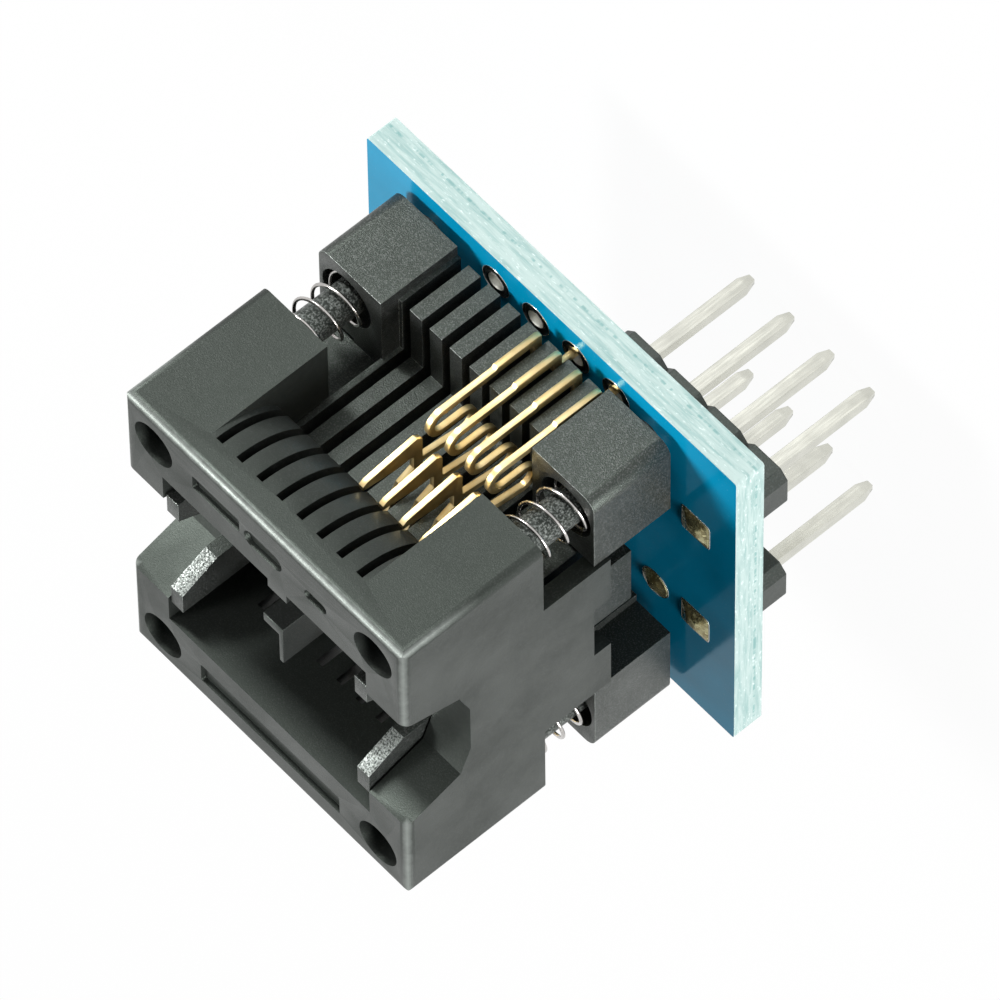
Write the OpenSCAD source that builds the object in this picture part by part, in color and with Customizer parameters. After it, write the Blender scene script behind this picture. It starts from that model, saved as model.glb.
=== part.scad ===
// Test-socket adapter for a narrow eight-lead small-outline chip.
// An open-top spring socket on a small circuit board, with two rows of square
// pins below that plug into an eight-way dual-in-line socket.
// Frame: +Z up, X along the pin rows, origin under the centre of the board,
// at the level of the pin tips. Millimetres.

/* [Circuit board] */
// board length along the pin rows
board_x = 23.4; // [23:0.1:30]
// board width across the pin rows
board_y = 20.8; // [20.8:0.1:26]
// board thickness
board_t = 1.6; // [1.2:0.1:2.4]
// corner radius of the board
board_r = 0.15; // [0.1:0.05:1.5]
// drilled hole for a socket tail
tail_hole_d = 1; // [0.8:0.05:1]

/* [Pin header] */
// spacing of the pins in a row
pin_pitch = 2.54; // [2:0.01:2.54]
// distance between the two rows
row_span = 7.62; // [7.5:0.01:10.16]
// side of the square pin
pin_w = 0.64; // [0.4:0.01:0.7]
// free length of a pin below its strip
pin_free = 6; // [4:0.1:9]
// length of the bevel at the pin tip
pin_tip = 0.6; // [0.2:0.05:1]
// height of the moulded strip
strip_h = 2.54; // [1.5:0.01:4]
// width of the moulded strip
strip_w = 2.5; // [1.6:0.01:2.54]
// last pin to the board edge
pin_edge = 2.5; // [2:0.1:3.2]
// middle of the two rows from the board centre
row_off = 0.2; // [0:0.05:0.4]

/* [Socket] */
// spacing of the contact slots
slot_pitch = 1.27; // [1.2:0.01:1.27]
// middle of the slots from the socket centre
slot_off = 0.15; // [0:0.05:0.2]
// cover length along the slots
sock_x = 17.8; // [17.6:0.1:18]
// width of the base across the slots
sock_y = 20; // [19.9:0.1:20.4]
// socket centre from the board centre, toward the free end
sock_shift = 0.65; // [0.4:0.05:1.5]
// socket centre from the board centre, toward pin row b
sock_side = 0.4; // [0:0.05:0.4]
// gap between the socket and the board, held by small feet
stand = 0.45; // [0.35:0.05:0.7]
// height of the corner blocks above the board
block_h = 4.8; // [4:0.1:4.9]
// width of a corner block along X
block_x = 3.7; // [3.5:0.05:3.75]
// height of the outer rib tier
tier_h = 3.8; // [3:0.1:3.8]
// outer face of the outer rib tier from the middle
tier_y = 9.35; // [9.2:0.05:9.4]
// outer face of the inner rib tier from the middle
wall_y = 5.6; // [5.4:0.05:5.65]
// top of the inner rib tier above the board
wall_h = 10.2; // [9.4:0.1:10.4]
// width of a slot between ribs
rib_gap = 0.5; // [0.4:0.02:0.7]

/* [Cover] */
// width of the cover across the slots
cover_y = 19.7; // [19.6:0.1:20.2]
// top of the cover above the board, at rest
cover_h = 15.7; // [15.5:0.1:16.4]
// underside of the cover arms above the board, at rest
arm_h = 7.8; // [7.8:0.1:8.4]
// lower edge of the end skirts above the board, at rest
skirt_h = 4; // [3.8:0.1:4.4]
// downward stroke of the cover
stroke = 2.9; // [1:0.1:2.9]
// width of a slot in the cover comb
comb_gap = 0.4; // [0.36:0.01:0.44]
// bore cored into the cover over each spring post
core_d = 2.4; // [2:0.1:2.6]
// edge radius of the cover
cover_r = 0.45; // [0.2:0.05:0.6]

/* [Springs] */
// outside diameter of a spring
spring_d = 2.65; // [2.6:0.01:2.8]
// wire diameter of a spring
wire_d = 0.2; // [0.16:0.01:0.22]
// turns in a spring
turns = 6.25; // [5.25:1:8.25]

/* [Contacts] */
// thickness of the stamped contact
leaf_t = 0.28; // [0.2:0.01:0.3]
// width of the bent contact strand
strand_w = 0.34; // [0.26:0.01:0.4]
// free length of a contact tail below the board
tail_free = 0.62; // [0.6:0.01:1.2]

/* [Solder] */
// side of the square land at the last pin
land_side = 1.8; // [1.5:0.05:1.9]
// widest diameter of a solder fillet round a tail
joint_d = 1.5; // [1.2:0.05:1.6]
// height of a solder fillet round a tail
joint_h = 0.5; // [0.3:0.05:0.55]
// clearance between a solder fillet and a pin strip
joint_gap = 0.04; // [0.03:0.01:0.2]

/* [Hidden] */
zp = pin_free + strip_h;            // underside of the board
zb = zp + board_t;                  // top of the board
cx = -sock_shift;                   // socket centre in X
cy = -sock_side;                    // socket centre in Y
pin_x0 = board_x/2 - pin_edge;      // pin nearest the +X edge
hx = sock_x/2;
hy = sock_y/2;
cvy = cover_y/2;
bx = hx - 0.15;                     // outer X face of the corner blocks
by = hy;                            // outer Y face of the corner blocks
bi = 5.1;                           // inner Y face of the blocks at the skirt
block_r = 0.7;                      // round outer edge of the blocks
sy = 5.0;                           // half width of an end skirt
win_y = wall_y + 0.2;               // half width of the cover window
win_x = 6.5;                        // half length of the cover window
post_x = 6.99;                      // spring post axis
post_y = 7.82;
post_d = 1.7;
well_d = spring_d + 0.45;           // spring well in a block
well_z = 1.1;                       // floor of the spring well
foot_x = 6.9;                       // feet under the corner blocks
foot_y = 8.2;
foot_d = 1.8;
core_z = arm_h + 2.2;               // floor of the cored bore
comb_z = cover_h - 1.4;             // closed end of the comb slots
tooth_z = cover_h - 5.1;            // tooth ends
tooth_y = cvy - 1.75;
tip_r = 0.6;                        // round end of a tooth
comb_x = 4.92;                      // half width of the comb bay
col_x = 7.6;                        // half length of the base above the skirt edges
lug_x = col_x + 0.15;               // end faces of the lugs between the skirt prongs
lug_y = 1.93;                       // half width of a lug
lug_z = 1.8;                        // underside of a lug
col_y = sy - 0.2;                   // half width of the base column
hole_off = 0.2;                     // tail holes from their slots
end_h = cover_h - stroke - 4.9;     // base end walls
nest_z = 8.7;                       // floor of the chip nest
comb_wall = 0.8;                    // wall between the comb slots and the window
arm_z = 9.5;                        // highest point of a contact arm under that wall
$fn = 48;

// Shared shapes

// rectangle with true round corners, centred
module rrect(w, h, r) {
  square([w - 2*r, h], center = true);
  square([w, h - 2*r], center = true);
  for (i = [-1, 1], j = [-1, 1])
    translate([i*(w/2 - r), j*(h/2 - r)]) circle(r = r);
}

// box given by its lower and upper corner
module box(a, b) {
  translate(a) cube([b[0] - a[0], b[1] - a[1], b[2] - a[2]]);
}

// flat shape drawn as [y, z] and given a thickness t about x
module slab(x, t) {
  translate([x - t/2, 0, 0]) rotate([90, 0, 90]) linear_extrude(t) children();
}

// straight strand from a to b with round ends
module strand(a, b, w) {
  d = [b[0] - a[0], b[1] - a[1]];
  translate(a) {
    rotate(atan2(d[1], d[0])) translate([0, -w/2]) square([norm(d), w]);
    circle(d = w);
  }
  translate(b) circle(d = w);
}

// half ring round c, r at mid strand, up = 1 for the upper half
module bend(c, r, w, up) {
  translate(c) difference() {
    circle(r = r + w/2);
    circle(r = r - w/2);
    translate([-2*r - w, up > 0 ? -2*r - w : 0]) square([4*r + 2*w, 2*r + w]);
  }
}

// copies to the four corners of the socket
module corners() {
  for (i = [0, 1], j = [0, 1])
    mirror([i, 0, 0]) mirror([0, j, 0]) children();
}

// moves a child to the socket centre on top of the board
module at_socket() { translate([cx, cy, zb]) children(); }

function slot_x(k) = (k - 3.5)*slot_pitch + slot_off;
function pin_x(k) = pin_x0 - (4 - k)*pin_pitch;
// contacts fill the four slots at the +X end, tails in two staggered rows
function row_y(s) = s*row_span/2 + row_off;
function tail_y(k) = k % 2 == 0 ? 9 : 9 - 2.54;

// Circuit board

module circuit_board() {
  color([0.0, 0.4, 0.63])
  difference() {
    translate([0, 0, zp]) linear_extrude(board_t) rrect(board_x, board_y, board_r);
    for (k = [1:4], s = [-1, 1])
      translate([pin_x(k), row_y(s), zp - 1]) cylinder(d = pin_w*1.6, h = board_t + 2);
    for (k = [1:8], s = [-1, 1])
      translate([cx + slot_x(k - 1) + hole_off, cy + s*tail_y(k), zp - 1]) cylinder(d = tail_hole_d, h = board_t + 2);
  }
}

// Pin header

module header_strip(s) {
  seg = pin_pitch/2;
  nick = 0.45;
  color([0.07, 0.07, 0.08])
  difference() {
    union() {
      for (k = [1:4])
        translate([pin_x(k), row_y(s), pin_free]) linear_extrude(strip_h)
          polygon([[-seg, -strip_w/2 + nick], [-seg + nick, -strip_w/2], [seg - nick, -strip_w/2],
                   [seg, -strip_w/2 + nick], [seg, strip_w/2 - nick], [seg - nick, strip_w/2],
                   [-seg + nick, strip_w/2], [-seg, strip_w/2 - nick]]);
      // core that runs through the four segments
      translate([pin_x(1) - seg/2, row_y(s) - strip_w/2 + nick, pin_free])
        cube([3*pin_pitch + seg, strip_w - 2*nick, strip_h]);
    }
    for (k = [1:4])
      translate([pin_x(k) - pin_w/2 - 0.01, row_y(s) - pin_w/2 - 0.01, pin_free - 1])
        cube([pin_w + 0.02, pin_w + 0.02, strip_h + 2]);
    // room for the solder fillets of the contact tails
    for (k = [5:8], j = [-1, 1])
      translate([cx + slot_x(k - 1), cy + j*tail_y(k), zp - joint_h - joint_gap])
        cylinder(d = joint_d + 2*joint_gap, h = joint_h + joint_gap + 1);
  }
}

module pin_side() {
  top = zb + 0.1;
  e = pin_w*0.27;
  polygon([[-e, 0], [e, 0], [pin_w/2, pin_tip], [pin_w/2, top], [-pin_w/2, top], [-pin_w/2, pin_tip]]);
}

module header_pin(s, k) {
  color([0.80, 0.79, 0.76])
  translate([pin_x(k), row_y(s), 0]) intersection() {
    translate([0, pin_w/2, 0]) rotate([90, 0, 0]) linear_extrude(pin_w) pin_side();
    translate([-pin_w/2, 0, 0]) rotate([90, 0, 90]) linear_extrude(pin_w) pin_side();
  }
}

module header_pin_a1() { header_pin(1, 1); }
module header_pin_a2() { header_pin(1, 2); }
module header_pin_a3() { header_pin(1, 3); }
module header_pin_a4() { header_pin(1, 4); }
module header_pin_b1() { header_pin(-1, 1); }
module header_pin_b2() { header_pin(-1, 2); }
module header_pin_b3() { header_pin(-1, 3); }
module header_pin_b4() { header_pin(-1, 4); }
module header_strip_a() { header_strip(1); }
module header_strip_b() { header_strip(-1); }

// solder on the top of the board: a square land at the last pin of each row,
// round lands at the third; the rest lie in the gap under the socket
module pin_joints() {
  color([0.55, 0.50, 0.38])
  for (k = [1:4], s = [-1, 1])
    translate([pin_x(k), row_y(s), zb]) difference() {
      union() {
        if (k == 4) translate([-land_side/2, -land_side/2, 0]) cube([land_side, land_side, 0.06]);
        else cylinder(d = 1.7, h = 0.06);
        cylinder(d1 = 1.45, d2 = 0.95, h = 0.22);
      }
      translate([-pin_w/2 - 0.01, -pin_w/2 - 0.01, -1]) cube([pin_w + 0.02, pin_w + 0.02, 1.11]);
    }
}

// solder fillets round the contact tails below the board
module tail_joints() {
  color([0.62, 0.60, 0.55])
  for (k = [5:8], s = [-1, 1])
    translate([cx + slot_x(k - 1), cy + s*tail_y(k), zp]) difference() {
      mirror([0, 0, 1]) cylinder(d1 = joint_d, d2 = joint_d/2, h = joint_h);
      translate([-leaf_t/2 - 0.01, -strand_w/2 - 0.01, -1])
        cube([leaf_t + 0.02, strand_w + 0.02, 2]);
    }
}

// Socket base

// slot between two ribs, cut from the outer face over the step to the nest
module rib_slot(x) {
  for (m = [0, 1]) mirror([0, m, 0]) {
    box([x - rib_gap/2, 7.4, -0.1], [x + rib_gap/2, 11, tier_h + 1]);
    box([x - rib_gap/2, 6, -0.1], [x + rib_gap/2, 11, 1.35]);
    box([x - rib_gap/2, 4.5, 2.5], [x + rib_gap/2, 11, wall_h + 1]);
    box([x - rib_gap/2, 1.9, 7.4], [x + rib_gap/2, 11, wall_h + 1]);
  }
}

// guide post at one corner of the nest, with a sloped lead-in for the chip
module guide_post() {
  translate([5.65, 0, 0]) rotate([90, 0, 90]) linear_extrude(0.75)
    polygon([[2.05, 4], [4.4, 4], [4.4, cover_h - 0.1], [3.1, cover_h - 0.1], [2.05, cover_h - 2.1]]);
}

module base_body() {
  comb_in = bx - block_x;
  // column under the nest, wider above the skirt edges, with a lug at each end
  box([-5.6, -col_y, stand], [5.6, col_y, end_h]);
  box([-col_x, -col_y, skirt_h + 0.1], [col_x, col_y, end_h]);
  box([-lug_x, -lug_y, lug_z], [lug_x, lug_y, end_h]);
  box([-comb_in, -tier_y, stand], [comb_in, tier_y, tier_h]);
  box([slot_off - 5, -wall_y, stand], [slot_off + 5, wall_y, wall_h]);
  corners() {
    // corner block with a round outer edge
    translate([0, 0, stand]) linear_extrude(block_h - stand) {
      polygon([[comb_in - 0.3, bi - 0.5], [6.6, bi - 0.5], [6.6, bi], [bx, bi],
               [bx, by - block_r], [bx - block_r, by], [comb_in - 0.3, by]]);
      translate([bx - block_r, by - block_r]) circle(r = block_r);
    }
    guide_post();
    // foot that stands on the board
    translate([foot_x, foot_y, 0]) cylinder(d = foot_d, h = stand + 0.2);
  }
}

module socket_base() {
  color([0.13, 0.135, 0.13])
  at_socket() difference() {
    base_body();
    for (k = [0:7]) rib_slot(slot_x(k));
    // spring wells
    corners() translate([post_x, post_y, well_z]) cylinder(d = well_d, h = 8);
    // chip nest: a tray for the body, a lower shelf for the leads
    box([-5.05, -2.02, nest_z], [5.05, 2.02, wall_h + 1]);
    box([-5.05, -3.25, nest_z - 0.6], [5.05, -2.01, wall_h + 1]);
    box([-5.05, 2.01, nest_z - 0.6], [5.05, 3.25, wall_h + 1]);
  }
}

// small angle that keeps an eight-lead chip at the contact end of the nest
module chip_stop() {
  color([0.16, 0.165, 0.16])
  at_socket() translate([0, 0, nest_z]) linear_extrude(15 - nest_z)
    polygon([[-0.02, -2], [0.25, -2], [0.25, 0.7], [-1, 0.7], [-1, 0.1], [-0.02, 0.1]]);
}

// Cover

// outer form with round edges, from three crossed profiles
module cover_form() {
  tall = cover_h - skirt_h + 2;
  intersection() {
    translate([0, 0, skirt_h]) linear_extrude(tall) rrect(sock_x, cover_y, cover_r);
    translate([0, cvy + 1, 0]) rotate([90, 0, 0]) linear_extrude(cover_y + 2)
      translate([0, cover_h - tall/2]) rrect(sock_x, tall, cover_r);
    slab(0, sock_x + 2) translate([0, cover_h - tall/2]) rrect(cover_y, tall, cover_r);
  }
}

// end notch between the two bars: steep sides and a dished floor
module end_notch() {
  translate([win_x - 1, 0, 0]) rotate([90, 0, 90]) linear_extrude(hx)
    translate([0, cover_h])
      polygon([[-4.4, 1], [-4.1, 0], [-3.1, -3.1], [-1.6, -3.7],
               [1.6, -3.7], [3.1, -3.1], [4.1, 0], [4.4, 1]]);
}

// bay that bares the comb teeth: the outside of a cylinder, on the +Y side
module comb_bay() {
  reach = cvy - tooth_y;
  drop = comb_z - tooth_z;
  r = (reach*reach + drop*drop)/(2*reach);
  tip_y = cvy - r + sqrt(pow(r - tip_r, 2) - pow(drop - tip_r, 2));
  end_z = comb_z - r*(drop - tip_r)/(r - tip_r);
  translate([slot_off, 0, 0]) {
    difference() {
      box([-comb_x, cvy - r, arm_h - 6], [comb_x, cvy + 1, comb_z]);
      translate([-comb_x - 1, cvy - r, comb_z]) rotate([0, 90, 0])
        cylinder(r = r, h = 2*comb_x + 2, $fn = 96);
    }
    // room under the teeth, with round tooth ends
    difference() {
      box([-comb_x, win_y - 1, arm_h - 6], [comb_x, cvy + 1, end_z]);
      box([-comb_x - 1, win_y - 2, tooth_z], [comb_x + 1, tip_y, tooth_z + 1]);
      translate([-comb_x - 1, tip_y, tooth_z + tip_r]) rotate([0, 90, 0])
        cylinder(r = tip_r, h = 2*comb_x + 2);
    }
  }
}

module cover_cuts() {
  // window over the nest
  box([-win_x, -win_y, 0], [win_x, win_y, cover_h + 1]);
  for (i = [0, 1]) mirror([i, 0, 0]) end_notch();
  // room for the base column and its end walls
  box([-col_x - 0.4, -sy, 0], [col_x + 0.4, sy, end_h + stroke + 0.4]);
  // below the arms only the end skirts remain
  for (j = [0, 1]) mirror([0, j, 0]) {
    box([-hx - 1, sy, 0], [hx + 1, cvy + 1, arm_h]);
    comb_bay();
    // comb slots: full height behind a wall, lower where the contact arms pass under it
    for (k = [0:7]) {
      box([slot_x(k) - comb_gap/2, win_y + comb_wall, 0], [slot_x(k) + comb_gap/2, cvy + 1, comb_z]);
      box([slot_x(k) - comb_gap/2, win_y - 1, 0], [slot_x(k) + comb_gap/2, cvy + 1, arm_z + stroke]);
    }
  }
  corners() translate([post_x, post_y, core_z]) cylinder(d = core_d, h = 8);
  // notch between the two prongs of each skirt
  for (i = [0, 1]) mirror([i, 0, 0])
    box([hx - 2, -1.85, 0], [hx + 1, 1.85, skirt_h + 0.95]);
  // marking fields, left blank
  translate([-3, 7.85, cover_h - 0.25]) linear_extrude(1) rrect(3, 0.95, 0.12);
  translate([0, 7.7, cover_h - 0.25]) linear_extrude(1) rrect(2.4, 1.05, 0.5);
  translate([3.35, 7.65, cover_h - 0.25]) linear_extrude(1) rrect(1.4, 0.7, 0.33);
  translate([0, -7.8, cover_h - 0.25]) linear_extrude(1) rrect(9, 1.3, 0.12);
}

module socket_cover() {
  color([0.15, 0.155, 0.15])
  at_socket() {
    difference() {
      cover_form();
      cover_cuts();
    }
    // spring posts under the arms
    corners() translate([post_x, post_y, 4.3]) cylinder(d = post_d, h = arm_h - 4.3 + 0.5);
    // tooth beside the marking field, at the window's edge
    box([0.25, win_y - 0.6, cover_h - 1.2], [1.45, win_y + 0.2, cover_h]);
  }
}

// Springs

// round wire wound as a helix: rings of points joined into a closed skin
module coil(d, w, z0, z1, n) {
  per = 16;
  side = 6;
  steps = floor(n*per);
  r = (d - w)/2;
  rise = (z1 - z0 - w)/steps;
  pts = [for (i = [0:steps], j = [0:side - 1])
    let (a = i*360/per, b = j*360/side, q = r + w/2*cos(b))
      [q*cos(a), q*sin(a), z0 + w/2 + i*rise + w/2*sin(b)]];
  skin = [for (i = [0:steps - 1], j = [0:side - 1])
    let (a = i*side + j, b = i*side + (j + 1) % side)
      [a, b, b + side, a + side]];
  polyhedron(points = pts, convexity = 8,
    faces = concat([[for (j = [side - 1:-1:0]) j]], skin,
                   [[for (j = [0:side - 1]) steps*side + j]]));
}

module cover_spring(i, j) {
  color([0.62, 0.60, 0.58])
  at_socket() translate([i*post_x, j*post_y, 0])
    rotate(i*j > 0 ? 195 : 77) coil(spring_d, wire_d, well_z + 0.02, arm_h - 0.02, turns);
}

module cover_spring_1() { cover_spring(-1, 1); }
module cover_spring_2() { cover_spring(1, 1); }
module cover_spring_3() { cover_spring(1, -1); }
module cover_spring_4() { cover_spring(-1, -1); }

// Contacts

// stamped contact in its own plane: tail, foot, stem with a neck, two hairpin
// bends, a lever that stands in the comb slot, and an arm with its nib
module contact_shape(ty) {
  w = strand_w;
  out = hy;
  mid = out - 0.32;
  // tail through the board, and the foot that joins it to the stem
  translate([ty - w/2, -board_t - tail_free]) square([w, board_t + tail_free + 1.15]);
  translate([ty - w/2, 0.72]) square([out - 0.1 - ty + w/2, 0.43]);
  // stem with its neck
  polygon([[out - 0.45, 0.72], [out - 0.12, 0.72], [out, 0.9], [out, 3.22], [mid + w/2, 3.34],
           [mid + w/2, 3.6], [mid - w/2, 3.6], [mid - w/2, 3.3], [out - 0.45, 3.1]]);
  translate([mid - w/2, 3.5]) square([w, 2.8]);
  // hairpin bends
  bend([mid - 0.675, 6.3], 0.675, w, 1);
  translate([mid - 1.35 - w/2, 5.2]) square([w, 1.1]);
  bend([mid - 2.03, 5.2], 0.68, w, -1);
  strand([mid - 2.71, 5.2], [mid - 2.3, 7.5], w);
  // web and lever
  polygon([[6.85, 7.5], [8.95, 7.5], [9.2, 7.8], [8.78, 10.6], [8.62, 10.85], [8.35, 10.85],
           [8.05, 9], [8.05, 8.15], [7.9, 8], [6.85, 8]]);
  // arm and nib over the lead shelf
  strand([7, 7.75], [6.5, 8.7], w);
  strand([6.5, 8.7], [4.6, 9.72], w);
  polygon([[4.6, 9.89], [4.4, 9.5], [3.0, 8.95], [2.75, 8.45], [2.95, 8.4], [4.8, 9.3]]);
}

module contact(s, k) {
  color([0.85, 0.70, 0.40])
  at_socket() mirror([0, s > 0 ? 0 : 1, 0])
    slab(slot_x(k + 3), leaf_t) contact_shape(tail_y(k + 4));
}

module contact_a1() { contact(1, 1); }
module contact_a2() { contact(1, 2); }
module contact_a3() { contact(1, 3); }
module contact_a4() { contact(1, 4); }
module contact_b1() { contact(-1, 1); }
module contact_b2() { contact(-1, 2); }
module contact_b3() { contact(-1, 3); }
module contact_b4() { contact(-1, 4); }

circuit_board();
header_strip_a();
header_strip_b();
header_pin_a1();
header_pin_a2();
header_pin_a3();
header_pin_a4();
header_pin_b1();
header_pin_b2();
header_pin_b3();
header_pin_b4();
pin_joints();
tail_joints();
socket_base();
chip_stop();
socket_cover();
cover_spring_1();
cover_spring_2();
cover_spring_3();
cover_spring_4();
contact_a1();
contact_a2();
contact_a3();
contact_a4();
contact_b1();
contact_b2();
contact_b3();
contact_b4();
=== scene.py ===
import math

import bmesh
import bpy
from bpy.props import FloatProperty, FloatVectorProperty, IntProperty, PointerProperty
from mathutils import Matrix, Vector


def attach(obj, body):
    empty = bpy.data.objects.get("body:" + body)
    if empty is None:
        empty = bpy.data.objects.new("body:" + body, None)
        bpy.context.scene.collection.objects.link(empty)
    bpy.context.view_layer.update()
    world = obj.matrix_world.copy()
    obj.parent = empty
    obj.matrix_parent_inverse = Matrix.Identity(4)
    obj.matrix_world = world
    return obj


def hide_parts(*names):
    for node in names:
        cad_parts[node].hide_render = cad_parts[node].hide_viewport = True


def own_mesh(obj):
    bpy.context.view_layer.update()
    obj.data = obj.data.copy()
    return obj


bl_info = {
    "name": "Chip Socket Adapter",
    "version": (1, 0, 0),
    "blender": (4, 5, 0),
    "location": "View3D > Sidebar > Adapter",
    "description": "Dresses the spring test socket adapter with its finishes, springs and solder",
    "category": "Object",
}

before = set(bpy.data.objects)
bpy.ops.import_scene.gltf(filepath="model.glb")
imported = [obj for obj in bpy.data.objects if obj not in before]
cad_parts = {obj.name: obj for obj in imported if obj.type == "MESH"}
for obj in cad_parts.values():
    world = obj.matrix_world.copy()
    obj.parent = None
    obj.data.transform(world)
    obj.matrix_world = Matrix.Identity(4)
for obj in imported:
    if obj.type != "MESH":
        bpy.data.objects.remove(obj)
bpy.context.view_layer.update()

# All fixed places are in metres, in the frame of the part.
MM = 0.001
BOARD_LOW = 8.54 * MM
BOARD_TOP = 10.14 * MM
SOCKET = Vector((-0.65 * MM, -0.4 * MM, BOARD_TOP))
POST = (6.99 * MM, 7.82 * MM)
SPRING_FOOT = 1.12 * MM
SPRING_HEAD = 7.78 * MM
COVER_TOP = 15.7 * MM
PIN_X = [1.58 * MM, 4.12 * MM, 6.66 * MM, 9.2 * MM]
ROW_Y = {"a": 4.01 * MM, "b": -3.61 * MM}
TAIL_Y = (9.0 * MM, 6.46 * MM)
SLOT_PITCH = 1.27 * MM
SLOT_OFF = 0.15 * MM
HOLE_OFF = 0.2 * MM
SKIN = 0.002 * MM
TAIL_BORE = 0.499 * MM
LAND_THICK = 0.03 * MM
ROUND_LAND = 0.85 * MM
SQUARE_LAND = 0.9 * MM
SQUARENESS = 0.8
PHOTO_PIXELS = 1000
FOCAL_PIXELS = 16000
SENSOR = 36.0
# The photo's camera: where it stands, and which way its picture runs.
CAMERA_RIGHT = Vector((0.66609259, -0.00775357, -0.74582876))
CAMERA_DOWN = Vector((0.63307077, -0.52285766, 0.57082508))
CAMERA_AHEAD = Vector((-0.39438822, -0.85238474, -0.34336305))
CAMERA_SPOT = Vector((270.4263, 582.7728, 248.5512)) * MM
FLOOR_RADIUS = 1.6
FLOOR_GLOW = 0.96
WORLD_LIGHT = 0.05
# Name, direction, distance, width, height and watts of each lamp.
LAMPS = (
    ("left", (-0.42, 0.24, 0.87), 0.6, 0.14, 0.14, 4.0),
    ("right", (0.98, 0.02, 0.15), 0.7, 0.34, 0.20, 6.6),
    ("front", (-0.45, 0.88, 0.08), 0.8, 0.30, 0.10, 5.8),
)


class AdapterSizes(bpy.types.PropertyGroup):
    spring_diameter: FloatProperty(name="Spring diameter", description="Outside diameter of a spring",
                                   default=2.65 * MM, unit="LENGTH", precision=5)
    wire_diameter: FloatProperty(name="Wire diameter", description="Wire of a cover spring",
                                 default=0.18 * MM, unit="LENGTH", precision=5)
    spring_turns: FloatProperty(name="Spring turns", description="Turns of wire in a cover spring",
                                default=6.25)
    spring_start: FloatProperty(name="Spring start", description="Angle at which the wire starts",
                                default=math.radians(195), subtype="ANGLE")
    spring_start_other: FloatProperty(name="Other start", description="Start angle of the other two springs",
                                      default=math.radians(77), subtype="ANGLE")
    land_radius: FloatProperty(name="Land radius", description="Radius of a plated land on the board",
                               default=0.86 * MM, unit="LENGTH", precision=5)
    hole_radius: FloatProperty(name="Hole radius", description="Radius inside a plated hole",
                               default=0.46 * MM, unit="LENGTH", precision=5)
    cover_edge: FloatProperty(name="Cover edge", description="Rounding added to the cover's sharp edges",
                              default=0.02 * MM, unit="LENGTH", precision=6)
    base_edge: FloatProperty(name="Base edge", description="Rounding added to the base's sharp edges",
                             default=0.06 * MM, unit="LENGTH", precision=6)
    strip_edge: FloatProperty(name="Strip edge", description="Rounding added to the pin strips' edges",
                              default=0.06 * MM, unit="LENGTH", precision=6)
    pin_edge: FloatProperty(name="Pin edge", description="Rounding added to the pins' edges",
                            default=0.035 * MM, unit="LENGTH", precision=6)
    contact_edge: FloatProperty(name="Contact edge", description="Rounding added to the contacts' edges",
                                default=0.05 * MM, unit="LENGTH", precision=6)
    round_steps: IntProperty(name="Round steps", description="Steps round a small turned shape",
                             default=40)


class AdapterColours(bpy.types.PropertyGroup):
    mask_blue: FloatVectorProperty(name="Solder mask", description="Blue of the board's lacquer",
                                   subtype="COLOR", size=3, default=(0.0, 0.26, 0.46))
    laminate: FloatVectorProperty(name="Laminate", description="Sawn edge of the board", subtype="COLOR",
                                  size=3, default=(0.42, 0.52, 0.50))
    moulding: FloatVectorProperty(name="Moulding", description="Dark plastic of base and cover",
                                  subtype="COLOR", size=3, default=(0.0085, 0.0098, 0.0088))
    strip: FloatVectorProperty(name="Strip plastic", description="Plastic of the pin strips", subtype="COLOR",
                               size=3, default=(0.014, 0.015, 0.0145))
    tin: FloatVectorProperty(name="Tin", description="Plating of the pins and lands", subtype="COLOR",
                             size=3, default=(0.69, 0.69, 0.62))
    gold: FloatVectorProperty(name="Gold", description="Plating of the contacts", subtype="COLOR",
                              size=3, default=(0.78, 0.63, 0.34))
    wire: FloatVectorProperty(name="Spring wire", description="Bright steel wire", subtype="COLOR",
                              size=3, default=(0.56, 0.54, 0.52))
    solder: FloatVectorProperty(name="Solder", description="Dull solder with flux", subtype="COLOR",
                                size=3, default=(0.36, 0.34, 0.18))
    floor: FloatVectorProperty(name="Floor", description="Pale studio floor", subtype="COLOR",
                               size=3, default=(0.75, 0.75, 0.75))


# Small helpers for shader trees

def fresh_material(name):
    material = bpy.data.materials.new(name)
    material.use_nodes = True
    tree = material.node_tree
    tree.nodes.clear()
    out = tree.nodes.new("ShaderNodeOutputMaterial")
    surface = tree.nodes.new("ShaderNodeBsdfPrincipled")
    tree.links.new(surface.outputs["BSDF"], out.inputs["Surface"])
    return material, tree, surface


def feed(tree, socket, value):
    """Links an output to a socket, or sets the socket to a value."""
    if hasattr(value, "links"):
        tree.links.new(value, socket)
    else:
        socket.default_value = value


def put(tree, kind, **values):
    node = tree.nodes.new(kind)
    for key, value in values.items():
        if hasattr(node, key):
            setattr(node, key, value)
        else:
            node.inputs[key].default_value = value
    return node


def noise(tree, coords, scale, detail=4.0, rough=0.55, stretch=None):
    node = put(tree, "ShaderNodeTexNoise", Scale=scale, Detail=detail, Roughness=rough)
    if stretch is not None:
        mapping = put(tree, "ShaderNodeMapping", Scale=stretch)
        tree.links.new(coords, mapping.inputs["Vector"])
        coords = mapping.outputs["Vector"]
    tree.links.new(coords, node.inputs["Vector"])
    return node.outputs["Fac"]


def span(tree, value, low, high, to_low, to_high):
    node = put(tree, "ShaderNodeMapRange")
    for name, number in (("From Min", low), ("From Max", high), ("To Min", to_low), ("To Max", to_high)):
        node.inputs[name].default_value = number
    tree.links.new(value, node.inputs["Value"])
    return node.outputs["Result"]


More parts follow.
